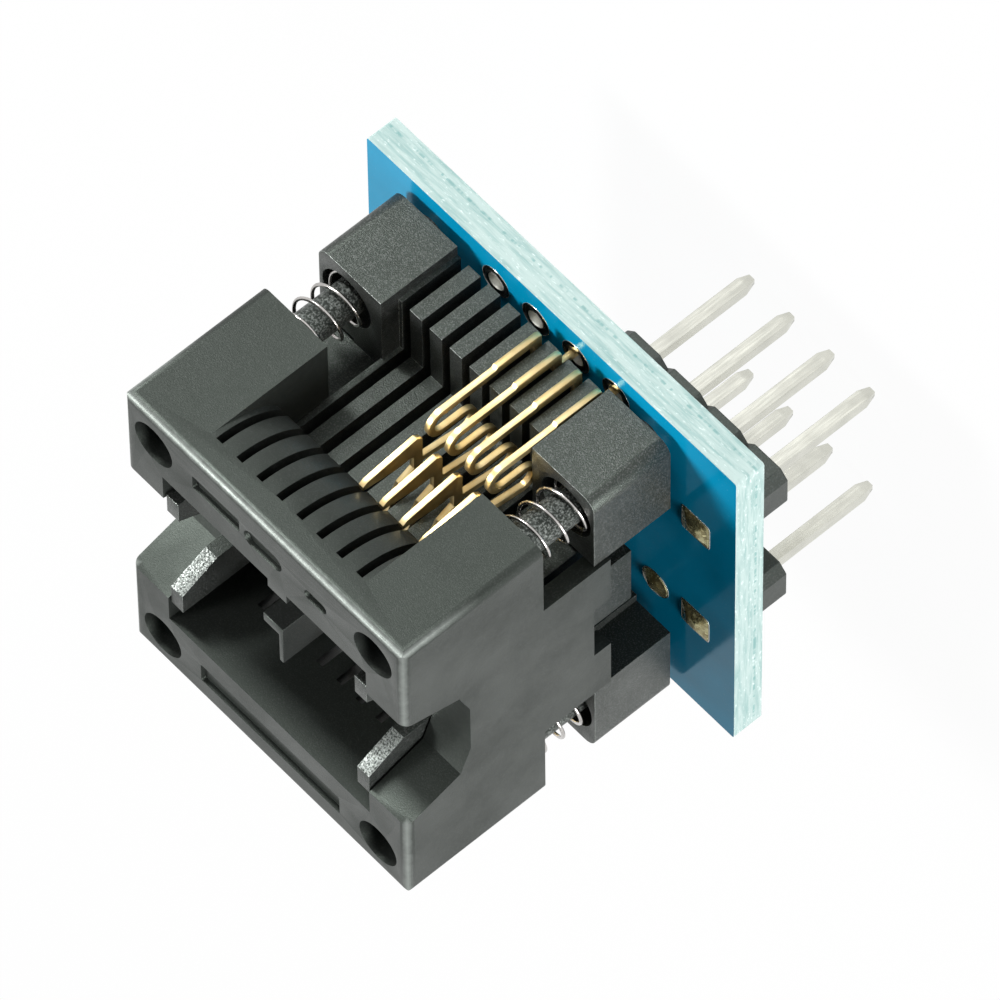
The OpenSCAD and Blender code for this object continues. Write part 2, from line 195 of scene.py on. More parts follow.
def blend_colours(tree, factor, first, second):
    node = put(tree, "ShaderNodeMix", data_type="RGBA")
    for socket, colour in ((node.inputs[6], first), (node.inputs[7], second)):
        feed(tree, socket, colour if hasattr(colour, "links") else (*colour[:3], 1.0))
    tree.links.new(factor, node.inputs[0])
    return node.outputs[2]


def maths(tree, operation, first, second=0.0):
    node = put(tree, "ShaderNodeMath", operation=operation)
    feed(tree, node.inputs[0], first)
    feed(tree, node.inputs[1], second)
    return node.outputs[0]


def choose(tree, factor, first, second):
    """A plain number that goes from the first value to the second."""
    node = put(tree, "ShaderNodeMix", data_type="FLOAT")
    tree.links.new(factor, node.inputs[0])
    feed(tree, node.inputs[2], first)
    feed(tree, node.inputs[3], second)
    return node.outputs[0]


def bumped(tree, surface, height, distance):
    node = put(tree, "ShaderNodeBump", Strength=1.0, Distance=distance)
    tree.links.new(height, node.inputs["Height"])
    tree.links.new(node.outputs["Normal"], surface.inputs["Normal"])


def place(tree):
    return put(tree, "ShaderNodeTexCoord").outputs["Object"]


def parts_of(tree, vector):
    """The three outputs of a vector, split."""
    axes = put(tree, "ShaderNodeSeparateXYZ")
    tree.links.new(vector, axes.inputs["Vector"])
    return axes.outputs


def facing(tree):
    """The true normal, split into its three parts."""
    return parts_of(tree, put(tree, "ShaderNodeNewGeometry").outputs["True Normal"])


def seen_directly(tree):
    """One for camera, glossy and transmission rays."""
    path = put(tree, "ShaderNodeLightPath")
    seen = maths(tree, "MAXIMUM", path.outputs["Is Camera Ray"], path.outputs["Is Glossy Ray"])
    return maths(tree, "MAXIMUM", seen, path.outputs["Is Transmission Ray"])


def group_of(name, inputs, outputs):
    group = bpy.data.node_groups.new(name, "ShaderNodeTree")
    for label, kind, default in inputs:
        socket = group.interface.new_socket(name=label, in_out="INPUT", socket_type=kind)
        if default is not None:
            socket.default_value = default
    for label, kind in outputs:
        group.interface.new_socket(name=label, in_out="OUTPUT", socket_type=kind)
    return group, group.nodes.new("NodeGroupInput"), group.nodes.new("NodeGroupOutput")


def grain_group():
    """Spark-eroded mould grain: a fine pitted height, light specks and broad flow clouds."""
    name = "mould_grain"
    if name in bpy.data.node_groups:
        return bpy.data.node_groups[name]
    group, given, result = group_of(
        name,
        [("Place", "NodeSocketVector", None), ("Grain", "NodeSocketFloat", 9000.0),
         ("Pits", "NodeSocketFloat", 0.5)],
        [("Height", "NodeSocketFloat"), ("Specks", "NodeSocketFloat"), ("Clouds", "NodeSocketFloat")])
    fine = put(group, "ShaderNodeTexNoise", Detail=3.0, Roughness=0.6)
    pits = put(group, "ShaderNodeTexVoronoi", feature="F1")
    broad = put(group, "ShaderNodeTexNoise", Scale=260.0, Detail=4.0, Roughness=0.6)
    specks = put(group, "ShaderNodeTexNoise", Detail=2.0, Roughness=0.5)
    for node in (fine, pits, broad, specks):
        group.links.new(given.outputs["Place"], node.inputs["Vector"])
    group.links.new(given.outputs["Grain"], fine.inputs["Scale"])
    group.links.new(maths(group, "MULTIPLY", given.outputs["Grain"], 0.8), pits.inputs["Scale"])
    group.links.new(maths(group, "MULTIPLY", given.outputs["Grain"], 0.7), specks.inputs["Scale"])
    pitted = maths(group, "MULTIPLY", pits.outputs["Distance"], given.outputs["Pits"])
    group.links.new(maths(group, "ADD", fine.outputs["Fac"], pitted), result.inputs["Height"])
    group.links.new(span(group, specks.outputs["Fac"], 0.50, 0.66, 0.0, 1.0), result.inputs["Specks"])
    group.links.new(span(group, broad.outputs["Fac"], 0.3, 0.7, 0.0, 1.0), result.inputs["Clouds"])
    return group


def tarnish_group():
    """Uneven plating: soft stains and fine drawn streaks."""
    name = "plating_stain"
    if name in bpy.data.node_groups:
        return bpy.data.node_groups[name]
    group, given, result = group_of(
        name,
        [("Place", "NodeSocketVector", None), ("Stretch", "NodeSocketVector", (1.0, 1.0, 0.05)),
         ("Size", "NodeSocketFloat", 6000.0)],
        [("Stain", "NodeSocketFloat"), ("Streak", "NodeSocketFloat")])
    stain = put(group, "ShaderNodeTexNoise", Scale=900.0, Detail=4.0, Roughness=0.6)
    group.links.new(given.outputs["Place"], stain.inputs["Vector"])
    mapping = put(group, "ShaderNodeMapping")
    group.links.new(given.outputs["Place"], mapping.inputs["Vector"])
    group.links.new(given.outputs["Stretch"], mapping.inputs["Scale"])
    streak = put(group, "ShaderNodeTexNoise", Detail=3.0, Roughness=0.6)
    group.links.new(mapping.outputs["Vector"], streak.inputs["Vector"])
    group.links.new(given.outputs["Size"], streak.inputs["Scale"])
    group.links.new(span(group, stain.outputs["Fac"], 0.35, 0.7, 0.0, 1.0), result.inputs["Stain"])
    group.links.new(streak.outputs["Fac"], result.inputs["Streak"])
    return group


def edge_highlight_group():
    """Painted highlight bands along the outer edges of a box-like moulding, near its top."""
    name = "edge_band"
    if name in bpy.data.node_groups:
        return bpy.data.node_groups[name]
    group, given, result = group_of(
        name,
        [("Place", "NodeSocketVector", None), ("Centre", "NodeSocketVector", (0.0, 0.0, 0.0)),
         ("Half", "NodeSocketVector", (1.0, 1.0, 1.0)), ("Width", "NodeSocketFloat", 0.3 * MM),
         ("Crown", "NodeSocketFloat", 1.5 * MM)],
        [("Mask", "NodeSocketFloat")])
    shift = put(group, "ShaderNodeVectorMath", operation="SUBTRACT")
    group.links.new(given.outputs["Place"], shift.inputs[0])
    group.links.new(given.outputs["Centre"], shift.inputs[1])
    size = put(group, "ShaderNodeVectorMath", operation="ABSOLUTE")
    group.links.new(shift.outputs[0], size.inputs[0])
    inside = put(group, "ShaderNodeVectorMath", operation="SUBTRACT")
    group.links.new(given.outputs["Half"], inside.inputs[0])
    group.links.new(size.outputs[0], inside.inputs[1])
    x, y, z = parts_of(group, inside.outputs[0])
    second = maths(group, "MAXIMUM", maths(group, "MINIMUM", x, y),
                   maths(group, "MINIMUM", maths(group, "MAXIMUM", x, y), z))
    share = maths(group, "DIVIDE", second, given.outputs["Width"])
    wobble = put(group, "ShaderNodeTexNoise", Scale=2200.0, Detail=3.0, Roughness=0.6)
    group.links.new(given.outputs["Place"], wobble.inputs["Vector"])
    share = maths(group, "ADD", share, span(group, wobble.outputs["Fac"], 0.3, 0.7, -0.1, 0.1))
    band = span(group, share, 0.2, 1.0, 1.0, 0.0)
    # The painted highlight is kept to the top: it fades out from Crown to Crown plus 3 mm below the top.
    top = put(group, "ShaderNodeVectorMath", operation="SUBTRACT")
    group.links.new(given.outputs["Half"], top.inputs[0])
    group.links.new(shift.outputs[0], top.inputs[1])
    below = maths(group, "SUBTRACT", parts_of(group, top.outputs[0])["Z"], given.outputs["Crown"])
    crown = span(group, below, 0.0, 3.0 * MM, 1.0, 0.0)
    group.links.new(maths(group, "MULTIPLY", band, crown), result.inputs["Mask"])
    return group


def use_group(tree, group, coords, **values):
    node = tree.nodes.new("ShaderNodeGroup")
    node.node_tree = group
    tree.links.new(coords, node.inputs["Place"])
    for key, value in values.items():
        node.inputs[key].default_value = value
    return node


# Finishes

def painted_edge_highlight(tree, coords, box, width):
    """Painted highlight: bright bands along the outer edges of a moulding."""
    low, high = box
    band = use_group(tree, edge_highlight_group(), coords, Width=width,
                     Centre=[(a + b) / 2 for a, b in zip(low, high)],
                     Half=[(b - a) / 2 for a, b in zip(low, high)])
    return maths(tree, "MULTIPLY", band.outputs["Mask"], 0.42)


def post_painted_glint(tree, coords, box, grain):
    """Painted highlight: coarse glittering spots on the spring posts, which lie low and inside the end walls.
    """
    low, high = box
    spot = parts_of(tree, coords)
    aside = maths(tree, "ABSOLUTE", maths(tree, "SUBTRACT", spot["X"], (low[0] + high[0]) / 2))
    inside = maths(tree, "LESS_THAN", aside, POST[0] + 0.9 * MM)
    below = maths(tree, "LESS_THAN", spot["Z"], high[2] - (COVER_TOP - SPRING_HEAD))
    painted_sparkle = span(tree, noise(tree, coords, grain * 0.5, 2.0), 0.45, 0.7, 0.0, 0.45)
    return maths(tree, "MULTIPLY", maths(tree, "MULTIPLY", inside, below), painted_sparkle)


def slope_painted_glint(tree, coords, grain):
    """Painted highlight: coarse glittering spots on faces that slope upward."""
    axes = facing(tree)
    across = maths(tree, "MAXIMUM", maths(tree, "ABSOLUTE", axes["X"]), maths(tree, "ABSOLUTE", axes["Y"]))
    tilt = maths(tree, "MULTIPLY", across, axes["Z"])
    painted_sparkle = span(tree, noise(tree, coords, grain * 0.6, 2.0), 0.35, 0.65, 0.0, 1.0)
    return maths(tree, "MULTIPLY", span(tree, tilt, 0.12, 0.2, 0.0, 1.0), painted_sparkle)


def moulding_finish(name, colour, grain, depth, roughness, specks, shine, edges=None, slopes=False):
    """Spark-eroded dark plastic; edges is a (box, width) for painted edge highlights and painted glints on
    the spring posts, slopes adds painted glints on upward slopes.
    """
    material, tree, surface = fresh_material(name)
    coords = place(tree)
    node = use_group(tree, grain_group(), coords, Grain=grain, Pits=0.6)
    pale = [min(1.0, c * 1.7 + 0.003) for c in colour]
    dark = [c * 0.5 for c in colour]
    base = blend_colours(tree, node.outputs["Clouds"], dark, pale)
    speck = [min(1.0, c + specks) for c in colour]
    base = blend_colours(tree, maths(tree, "MULTIPLY", node.outputs["Specks"], 0.5), base, speck)
    painted_glint = None
    if edges is not None:
        box, width = edges
        painted_glint = maths(tree, "MAXIMUM", painted_edge_highlight(tree, coords, box, width),
                     post_painted_glint(tree, coords, box, grain))
    if slopes:
        painted_glint = slope_painted_glint(tree, coords, grain)
    if painted_glint is not None:
        # Painted highlights: the masked places turn pale and partly metallic.
        base = blend_colours(tree, painted_glint, base, (0.52, 0.56, 0.53))
        tree.links.new(maths(tree, "MULTIPLY", painted_glint, 0.8), surface.inputs["Metallic"])
    tree.links.new(base, surface.inputs["Base Color"])
    tree.links.new(span(tree, node.outputs["Clouds"], 0.0, 1.0, roughness + 0.07, roughness - 0.07),
                   surface.inputs["Roughness"])
    surface.inputs["Specular IOR Level"].default_value = shine
    surface.inputs["Specular Tint"].default_value = (0.86, 1.0, 0.88, 1.0)
    bumped(tree, surface, node.outputs["Height"], depth)
    return material


def plated_finish(name, colour, stain, roughness, stretch, size, depth):
    material, tree, surface = fresh_material(name)
    node = use_group(tree, tarnish_group(), place(tree), Stretch=stretch, Size=size)
    tree.links.new(blend_colours(tree, node.outputs["Stain"], colour, stain), surface.inputs["Base Color"])
    surface.inputs["Metallic"].default_value = 1.0
    tree.links.new(span(tree, node.outputs["Streak"], 0.3, 0.7, roughness - 0.06, roughness + 0.1),
                   surface.inputs["Roughness"])
    bumped(tree, surface, node.outputs["Streak"], depth)
    return material


def board_finish(name, mask_blue, laminate):
    """Blue lacquer on the flat faces, sawn glass-fibre layers on the edges."""
    material, tree, surface = fresh_material(name)
    coords = place(tree)
    flat = maths(tree, "GREATER_THAN", maths(tree, "ABSOLUTE", facing(tree)["Z"]), 0.5)

    clouds = span(tree, noise(tree, coords, 120.0, 3.0), 0.35, 0.65, 0.0, 1.0)
    deep = [c * 0.8 for c in mask_blue]
    light = [min(1.0, c * 1.15 + 0.003) for c in mask_blue]
    lacquer = blend_colours(tree, clouds, deep, light)
    dust = span(tree, noise(tree, coords, 9000.0, 2.0, 0.5), 0.68, 0.80, 0.0, 0.25)
    lacquer = blend_colours(tree, dust, lacquer, (0.25, 0.45, 0.6))

    layers = noise(tree, coords, 1.0, 3.0, 0.6, stretch=(420.0, 420.0, 5200.0))
    fibres = noise(tree, coords, 1.0, 2.0, 0.6, stretch=(2600.0, 2600.0, 9000.0))
    shade = maths(tree, "MULTIPLY", span(tree, layers, 0.42, 0.68, 0.0, 1.0), 0.75)
    streaked = blend_colours(tree, shade, laminate, [c * f for c, f in zip(laminate, (0.52, 0.68, 0.68))])
    streaked = blend_colours(tree, span(tree, fibres, 0.6, 0.75, 0.0, 0.5), streaked, (0.92, 0.97, 0.95))
    height = parts_of(tree, coords)["Z"]
    off = maths(tree, "ABSOLUTE", maths(tree, "SUBTRACT", height, BOARD_LOW + 0.45 * MM))
    line = span(tree, off, 0.03 * MM, 0.09 * MM, 1.0, 0.0)
    bundles = noise(tree, coords, 1.0, 1.0, 0.5, stretch=(3600.0, 3600.0, 600.0))
    dashes = span(tree, bundles, 0.48, 0.6, 0.0, 0.6)
    streaked = blend_colours(tree, maths(tree, "MULTIPLY", line, dashes), streaked,
                             [c * f for c, f in zip(laminate, (0.3, 0.55, 0.55))])

    tree.links.new(blend_colours(tree, flat, streaked, lacquer), surface.inputs["Base Color"])
    surface.inputs["Specular Tint"].default_value = (0.28, 0.88, 1.0, 1.0)
    surface.inputs["IOR"].default_value = 1.22
    tree.links.new(maths(tree, "MULTIPLY", flat, span(tree, clouds, 0.0, 1.0, 0.06, 0.12)),
                   surface.inputs["Metallic"])
    gloss = span(tree, clouds, 0.0, 1.0, 0.14, 0.2)
    tree.links.new(choose(tree, flat, 0.75, gloss), surface.inputs["Roughness"])
    ripple = maths(tree, "MULTIPLY", noise(tree, coords, 700.0, 2.0), 0.35)
    relief = choose(tree, flat, maths(tree, "ADD", layers, fibres), ripple)
    bumped(tree, surface, relief, 0.02 * MM)
    return material


def land_finish(name, colour):
    """Mirror-like flat lands, tinted darker as a painted dark reflection, with a duller plated barrel inside
    each hole, tinted lighter as painted light.
    """
    material, tree, surface = fresh_material(name)
    coords = place(tree)
    barrel = maths(tree, "LESS_THAN", maths(tree, "ABSOLUTE", facing(tree)["Z"]), 0.5)
    stain = span(tree, noise(tree, coords, 2600.0, 3.0, 0.6), 0.35, 0.65, 0.0, 1.0)
    # Painted light: the flat faces get a darker tint as painted dark reflection, the barrel walls a lighter
    # tint as painted light.
    flat = blend_colours(tree, stain, [c * 0.62 for c in colour], [c * 0.4 for c in colour])
    wall = blend_colours(tree, stain, [c * 0.85 for c in colour], [c * 0.6 for c in colour])
    tree.links.new(blend_colours(tree, barrel, flat, wall), surface.inputs["Base Color"])
    surface.inputs["Metallic"].default_value = 1.0
    tree.links.new(span(tree, barrel, 0.0, 1.0, 0.14, 0.5), surface.inputs["Roughness"])
    bumped(tree, surface, noise(tree, coords, 4200.0, 3.0), 0.012 * MM)
    return material


def solder_finish(name, colour):
    material, tree, surface = fresh_material(name)
    coords = place(tree)
    patches = span(tree, noise(tree, coords, 2600.0, 3.0, 0.6), 0.4, 0.62, 0.0, 1.0)
    crust = [colour[0] * 0.45, colour[1] * 0.38, colour[2] * 0.28]
    bright = [min(1.0, c * 1.9 + 0.05) for c in colour]
    base = blend_colours(tree, patches, colour, crust)
    # Painted highlight: random bright glints blended into the solder colour.
    glint = span(tree, noise(tree, coords, 5200.0, 2.0, 0.5), 0.55, 0.7, 0.0, 0.8)
    tree.links.new(blend_colours(tree, glint, base, bright), surface.inputs["Base Color"])
    surface.inputs["Metallic"].default_value = 0.85
    tree.links.new(span(tree, patches, 0.0, 1.0, 0.18, 0.4), surface.inputs["Roughness"])
    bumped(tree, surface, noise(tree, coords, 3800.0, 3.0), 0.03 * MM)
    return material


def floor_finish(name, colour):
    """Pale floor that the camera and reflections see near white, with the shadow kept."""
    material, tree, surface = fresh_material(name)
    coords = place(tree)
    soft = noise(tree, coords, 14.0, 3.0)
    tree.links.new(blend_colours(tree, soft, [c * 0.985 for c in colour], colour),
                   surface.inputs["Base Color"])
    surface.inputs["Roughness"].default_value = 0.9
    surface.inputs["Specular IOR Level"].default_value = 0.0
    glow = put(tree, "ShaderNodeEmission", Color=(1.0, 1.0, 1.0, 1.0), Strength=1.0)
    mixer = put(tree, "ShaderNodeMixShader")
    tree.links.new(maths(tree, "MULTIPLY", seen_directly(tree), FLOOR_GLOW), mixer.inputs[0])
    tree.links.new(surface.outputs["BSDF"], mixer.inputs[1])
    tree.links.new(glow.outputs["Emission"], mixer.inputs[2])
    out = next(n for n in tree.nodes if n.type == "OUTPUT_MATERIAL")
    tree.links.new(mixer.outputs[0], out.inputs["Surface"])
    return material


def cad_node(name):
    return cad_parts[name]


def own_box(name):
    """Low and high corner of a CAD node in its own coordinates."""
    corners = cad_node(name).bound_box
    return [min(c[k] for c in corners) for k in range(3)], [max(c[k] for c in corners) for k in range(3)]


def finish(name):
    """The finish for a material slot, made once from the scene's colours."""
    if name in bpy.data.materials and bpy.data.materials[name].get("adapter_finish"):
        return bpy.data.materials[name]
    colours = bpy.context.scene.adapter_colours
    makers = {
        "adapter_board": (board_finish, dict(mask_blue=colours.mask_blue, laminate=colours.laminate)),
        # The cover gets painted edge highlights and painted glints on its spring posts.
        "adapter_cover": (moulding_finish, dict(
            colour=colours.moulding, grain=20000.0, depth=0.006 * MM, roughness=0.42, specks=0.03,
            shine=0.45, edges=(own_box("socket_cover"), 0.34 * MM))),
        # The base gets painted glints on its upward-sloping faces.
        "adapter_base": (moulding_finish, dict(
            colour=colours.moulding, grain=20000.0, depth=0.014 * MM, roughness=0.38, specks=0.11,
            shine=0.5, slopes=True)),
        "adapter_strip": (moulding_finish, dict(
            colour=colours.strip, grain=18000.0, depth=0.005 * MM, roughness=0.42, specks=0.04,
            shine=0.6)),
        "adapter_tin": (plated_finish, dict(
            colour=colours.tin, stain=[c * 0.86 for c in colours.tin], roughness=0.24,
            stretch=(1.0, 1.0, 0.06), size=7000.0, depth=0.006 * MM)),
        "adapter_land": (land_finish, dict(colour=[c * 1.15 for c in colours.tin])),
        "adapter_gold": (plated_finish, dict(
            colour=colours.gold, stain=[c * f for c, f in zip(colours.gold, (0.86, 0.78, 0.62))],
            roughness=0.36, stretch=(1.0, 1.0, 0.2), size=5200.0, depth=0.004 * MM)),
        "adapter_wire": (plated_finish, dict(
            colour=colours.wire, stain=[c * 0.75 for c in colours.wire], roughness=0.2,
            stretch=(1.0, 1.0, 1.0), size=5000.0, depth=0.003 * MM)),
        "adapter_solder": (solder_finish, dict(colour=colours.solder)),
        "adapter_floor": (floor_finish, dict(colour=colours.floor)),
    }
    maker, values = makers[name]
    material = maker(name, **values)
    material["adapter_finish"] = True
    return material


# Small helpers for meshes

def coat(obj, material):
    if not obj.material_slots:
        obj.data.materials.append(material)
    for slot in obj.material_slots:
        slot.material = material


def soften(obj, width, segments=2, angle=35):
    """Rounds the sharp edges of a CAD node with modifiers, without touching its mesh."""
    weld = obj.modifiers.new("join", "WELD")
    weld.merge_threshold = 0.0005 * MM
    bevel = obj.modifiers.new("edge", "BEVEL")
    bevel.width = width
    bevel.segments = segments
    bevel.limit_method = "ANGLE"
    bevel.angle_limit = math.radians(angle)
    bevel.use_clamp_overlap = True
    bevel.harden_normals = False
    normals = obj.modifiers.new("shade", "WEIGHTED_NORMAL")
    normals.mode = "FACE_AREA"
    normals.weight = 60
    normals.keep_sharp = False


def new_piece(name, build, material, body="base"):
    mesh = bpy.data.meshes.new(name)
    work = bmesh.new()
    build(work)
    bmesh.ops.remove_doubles(work, verts=work.verts, dist=0.0001 * MM)
    bmesh.ops.recalc_face_normals(work, faces=work.faces)
    for face in work.faces:
        face.smooth = True
    work.to_mesh(mesh)
    work.free()
    obj = bpy.data.objects.new(name, mesh)
    bpy.context.scene.collection.objects.link(obj)
    obj.data.materials.append(material)
    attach(obj, body)
    return obj


def close_ends(work, rings):
    work.faces.new(rings[-1])
    work.faces.new(list(reversed(rings[0])))


def skin_between(work, low, high):
    """Faces between two rings of as many points."""
    for k in range(len(low)):
        j = (k + 1) % len(low)
        work.faces.new((low[k], low[j], high[j], high[k]))


def turned(work, centre, profile, steps, closed=True, square=0.0):
    """Turns a profile of (radius, height) about +Z; square > 0 pulls the outline to a rounded square."""
    rings = []
    for radius, height in profile:
        ring = []
        for k in range(steps):
            angle = 2 * math.pi * k / steps
            c, s = math.cos(angle), math.sin(angle)
            reach = radius
            if square > 0:
                power = 2 + 10 * square
                stretch = (abs(c) ** power + abs(s) ** power) ** (-1 / power)
                reach *= 1 + (stretch - 1) * min(1.0, square * 1.6)
            ring.append(work.verts.new((centre[0] + reach * c, centre[1] + reach * s, height)))
        rings.append(ring)
    pairs = list(zip(rings, rings[1:])) + ([(rings[-1], rings[0])] if closed else [])
    for low, high in pairs:
        skin_between(work, low, high)
    return rings


def tube(work, path, radius, sides=12):
    """Sweeps a round wire along a path of points, with closed ends."""
    rings = []
    count = len(path)
    for i, point in enumerate(path):
        before, after = path[max(0, i - 1)], path[min(count - 1, i + 1)]
        along = (after - before).normalized()
        side = along.cross(Vector((0, 0, 1))).normalized()
        up = side.cross(along).normalized()
        rings.append([work.verts.new(point + side * (radius * math.cos(a)) + up * (radius * math.sin(a)))
                      for a in (2 * math.pi * k / sides for k in range(sides))])
    for low, high in zip(rings, rings[1:]):
        skin_between(work, low, high)
    close_ends(work, rings)


def tail_holes():
    """Centres of the sixteen tail holes, in the frame of the part, with whether a tail fills them."""
    for k in range(8):
        for side in (1, -1):
            x = (k - 3.5) * SLOT_PITCH + SLOT_OFF + HOLE_OFF
            yield SOCKET.x + x, SOCKET.y + side * TAIL_Y[(k + 1) % 2], k >= 4


def pin_lands():
    """Centres of the eight pin lands with the size of each and how square it is."""
    for y in ROW_Y.values():
        for k, x in enumerate(PIN_X):
            last = k == len(PIN_X) - 1
            yield (x, y), SQUARE_LAND if last else ROUND_LAND, SQUARENESS if last else 0.0


# Operators, one for each group of like pieces

class AdapterBoard(bpy.types.Operator):
    """Lacquers the circuit board and adds its plated holes and lands"""
    bl_idname = "adapter.board"
    bl_label = "Circuit board"

    def execute(self, context):
        sizes = context.scene.adapter_sizes
        board = cad_node("circuit_board")
        coat(board, finish("adapter_board"))

        def build(work):
            rim, wall = sizes.land_radius, sizes.hole_radius
            low, bevel, edge = rim - 0.12 * MM, 0.05 * MM, LAND_THICK * 0.4
            profile = [(wall, BOARD_LOW - LAND_THICK), (wall, BOARD_TOP + edge),
                       (wall + 0.03 * MM, BOARD_TOP + LAND_THICK), (rim - bevel, BOARD_TOP + LAND_THICK),
                       (rim, BOARD_TOP + edge), (rim, BOARD_TOP + SKIN),
                       (TAIL_BORE, BOARD_TOP + SKIN), (TAIL_BORE, BOARD_LOW - SKIN),
                       (low, BOARD_LOW - SKIN), (low, BOARD_LOW - edge),
                       (low - bevel, BOARD_LOW - LAND_THICK)]
            for x, y, _ in tail_holes():
                turned(work, (x, y), profile, sizes.round_steps)
        lands = new_piece("tail_lands", build, finish("adapter_land"))
        return {"FINISHED"}


class AdapterHeader(bpy.types.Operator):
    """Finishes the two moulded strips and their eight square pins"""
    bl_idname = "adapter.header"
    bl_label = "Pin header"

    def execute(self, context):
        sizes = context.scene.adapter_sizes
        for row in "ab":
            strip = cad_node("header_strip_" + row)
            coat(strip, finish("adapter_strip"))
            soften(strip, sizes.strip_edge)
            for k in range(1, 5):
                pin = cad_node("header_pin_%s%d" % (row, k))
                coat(pin, finish("adapter_tin"))
                soften(pin, sizes.pin_edge, angle=20)
        return {"FINISHED"}


class AdapterSolder(bpy.types.Operator):
    """Puts solder mounds on the pins and fillets on the contact tails"""
    bl_idname = "adapter.solder"
    bl_label = "Solder"

    def execute(self, context):
        steps = context.scene.adapter_sizes.round_steps

        def mounds(work):
            for centre, land, square in pin_lands():
                rim = land - 0.07 * MM
                foot = rim - 0.04 * MM
                profile = [(rim, SKIN), (rim, 0.03 * MM), (foot, 0.05 * MM)]
                for t in (0.12, 0.28, 0.45, 0.62, 0.78, 0.9, 0.97):
                    lift = 0.05 * MM + 0.24 * MM * math.sin(t * math.pi / 2) ** 1.5
                    profile.append((foot - t * (rim - 0.14 * MM), lift))
                close_ends(work, turned(work, centre, [(r, BOARD_TOP + h) for r, h in profile], steps,
                                        closed=False, square=square))
        top = new_piece("pin_solder", mounds, finish("adapter_solder"))
        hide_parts("pin_joints")

        def rims(work):
            for centre, rim, square in pin_lands():
                inner, height = rim - 0.085 * MM, 0.025 * MM
                profile = [(inner, SKIN), (inner, height), (rim - 0.02 * MM, height),
                           (rim, 0.012 * MM), (rim, SKIN)]
                turned(work, centre, [(r, BOARD_TOP + h) for r, h in profile], steps, square=square)
        new_piece("pin_lands", rims, finish("adapter_land"))

        def fillets(work):
            outline = [(0.73, -0.05), (0.70, -0.09), (0.55, -0.18), (0.42, -0.28), (0.33, -0.40),
                       (0.26, -0.48), (0.12, -0.5)]
            profile = [(r * MM, BOARD_LOW + h * MM) for r, h in outline]
            for x, y, filled in tail_holes():
                if filled:
                    close_ends(work, turned(work, (x, y), profile, steps, closed=False))
        low = new_piece("tail_solder", fillets, finish("adapter_solder"))
        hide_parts("tail_joints")
        return {"FINISHED"}


class AdapterBase(bpy.types.Operator):
    """Finishes the ribbed base and the chip stop"""
    bl_idname = "adapter.base"
    bl_label = "Socket base"

    def execute(self, context):
        sizes = context.scene.adapter_sizes
        for name, look in (("socket_base", "adapter_base"), ("chip_stop", "adapter_strip")):
            coat(cad_node(name), finish(look))
            soften(cad_node(name), sizes.base_edge)
        return {"FINISHED"}


class AdapterCover(bpy.types.Operator):
    """Finishes the sprung cover"""
    bl_idname = "adapter.cover"
    bl_label = "Socket cover"

    def execute(self, context):
        sizes = context.scene.adapter_sizes
        coat(cad_node("socket_cover"), finish("adapter_cover"))
        soften(cad_node("socket_cover"), sizes.cover_edge, segments=3)
        return {"FINISHED"}


class AdapterSprings(bpy.types.Operator):
    """Winds the four cover springs from round wire"""
    bl_idname = "adapter.springs"
    bl_label = "Cover springs"

    def execute(self, context):
        sizes = context.scene.adapter_sizes
        length = SPRING_HEAD - SPRING_FOOT
        radius = (sizes.spring_diameter - sizes.wire_diameter) / 2
        steps = int(sizes.spring_turns * 36)
        for number, (i, j) in enumerate([(-1, 1), (1, 1), (1, -1), (-1, -1)], 1):
            centre = SOCKET + Vector((i * POST[0], j * POST[1], SPRING_FOOT + sizes.wire_diameter / 2))
            rise = (length - sizes.wire_diameter) / steps
            start = sizes.spring_start if i * j > 0 else sizes.spring_start_other

            def build(work):
                path = []
                for s in range(steps + 1):
                    angle = start + 2 * math.pi * s * sizes.spring_turns / steps
                    turn = Vector((radius * math.cos(angle), radius * math.sin(angle), rise * s))
                    path.append(centre + turn)
                tube(work, path, sizes.wire_diameter / 2)
            coil = new_piece("wound_spring_%d" % number, build, finish("adapter_wire"))
            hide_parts("cover_spring_%d" % number)
            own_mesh(coil)
        return {"FINISHED"}


class AdapterContacts(bpy.types.Operator):
    """Gilds the eight stamped contacts"""
    bl_idname = "adapter.contacts"
    bl_label = "Contacts"

    def execute(self, context):
        for row in "ab":
            for k in range(1, 5):
                leaf = cad_node("contact_%s%d" % (row, k))
                coat(leaf, finish("adapter_gold"))
                soften(leaf, context.scene.adapter_sizes.contact_edge)
        return {"FINISHED"}


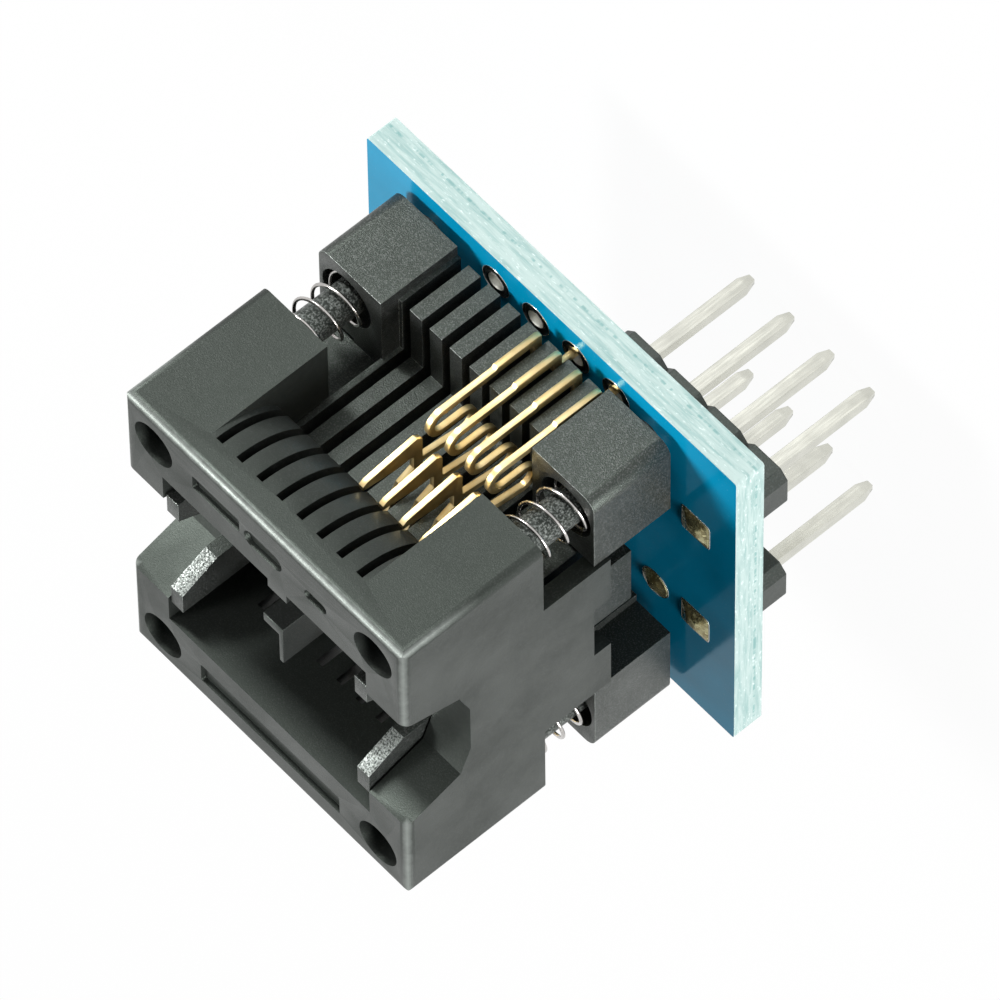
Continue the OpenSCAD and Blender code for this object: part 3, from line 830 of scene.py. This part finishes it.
class AdapterStage(bpy.types.Operator):
    """Sets the floor, the light and the camera"""
    bl_idname = "adapter.stage"
    bl_label = "Stage"

    def execute(self, context):
        scene = context.scene
        mesh = bpy.data.meshes.new("floor")
        work = bmesh.new()
        bmesh.ops.create_circle(work, cap_ends=True, segments=96, radius=FLOOR_RADIUS)
        work.to_mesh(mesh)
        work.free()
        floor = bpy.data.objects.new("floor", mesh)
        scene.collection.objects.link(floor)
        floor.data.materials.append(finish("adapter_floor"))

        world = bpy.data.worlds.new("studio")
        scene.world = world
        world.use_nodes = True
        tree = world.node_tree
        tree.nodes.clear()
        out = tree.nodes.new("ShaderNodeOutputWorld")
        strength = span(tree, seen_directly(tree), 0.0, 1.0, WORLD_LIGHT, 1.0)
        sky = put(tree, "ShaderNodeBackground", Color=(1.0, 1.0, 1.0, 1.0))
        tree.links.new(strength, sky.inputs["Strength"])
        tree.links.new(sky.outputs[0], out.inputs["Surface"])

        middle = Vector((0, 0, 15 * MM))
        for name, direction, distance, wide, high, power in LAMPS:
            lamp = bpy.data.lights.new(name, "AREA")
            lamp.shape = "RECTANGLE"
            lamp.size, lamp.size_y = wide, high
            lamp.energy = power
            obj = bpy.data.objects.new(name, lamp)
            scene.collection.objects.link(obj)
            away = Vector(direction).normalized()
            obj.location = middle + away * distance
            obj.rotation_euler = (-away).to_track_quat("-Z", "Y").to_euler()

        lens = bpy.data.cameras.new("camera")
        lens.sensor_width = SENSOR
        lens.lens = FOCAL_PIXELS / PHOTO_PIXELS * SENSOR
        lens.clip_start = 0.05
        lens.clip_end = 20.0
        camera = bpy.data.objects.new("camera", lens)
        scene.collection.objects.link(camera)
        columns = (CAMERA_RIGHT, -CAMERA_DOWN, -CAMERA_AHEAD, CAMERA_SPOT)
        camera.matrix_world = Matrix([[column[k] for column in columns] for k in range(3)] + [(0, 0, 0, 1)])
        scene.camera = camera
        scene.view_settings.view_transform = "Standard"
        return {"FINISHED"}


class AdapterPanel(bpy.types.Panel):
    """Lists the adapter's builders, sizes and colours"""
    bl_idname = "VIEW3D_PT_adapter"
    bl_label = "Chip Socket Adapter"
    bl_space_type = "VIEW_3D"
    bl_region_type = "UI"
    bl_category = "Adapter"

    def draw(self, context):
        for operator in OPERATORS:
            self.layout.operator(operator.bl_idname)
        for settings in (context.scene.adapter_sizes, context.scene.adapter_colours):
            column = self.layout.column()
            for name in settings.__annotations__:
                column.prop(settings, name)


OPERATORS = (AdapterBoard, AdapterHeader, AdapterSolder, AdapterBase, AdapterCover, AdapterSprings,
             AdapterContacts, AdapterStage)
CLASSES = (AdapterSizes, AdapterColours, *OPERATORS, AdapterPanel)


def register():
    for cls in CLASSES:
        bpy.utils.register_class(cls)
    bpy.types.Scene.adapter_sizes = PointerProperty(type=AdapterSizes)
    bpy.types.Scene.adapter_colours = PointerProperty(type=AdapterColours)


def unregister():
    del bpy.types.Scene.adapter_colours
    del bpy.types.Scene.adapter_sizes
    for cls in reversed(CLASSES):
        bpy.utils.unregister_class(cls)


def main():
    register()
    bpy.ops.adapter.board()
    bpy.ops.adapter.header()
    bpy.ops.adapter.solder()
    bpy.ops.adapter.base()
    bpy.ops.adapter.cover()
    bpy.ops.adapter.springs()
    bpy.ops.adapter.contacts()
    bpy.ops.adapter.stage()


if __name__ == "__main__":
    main()
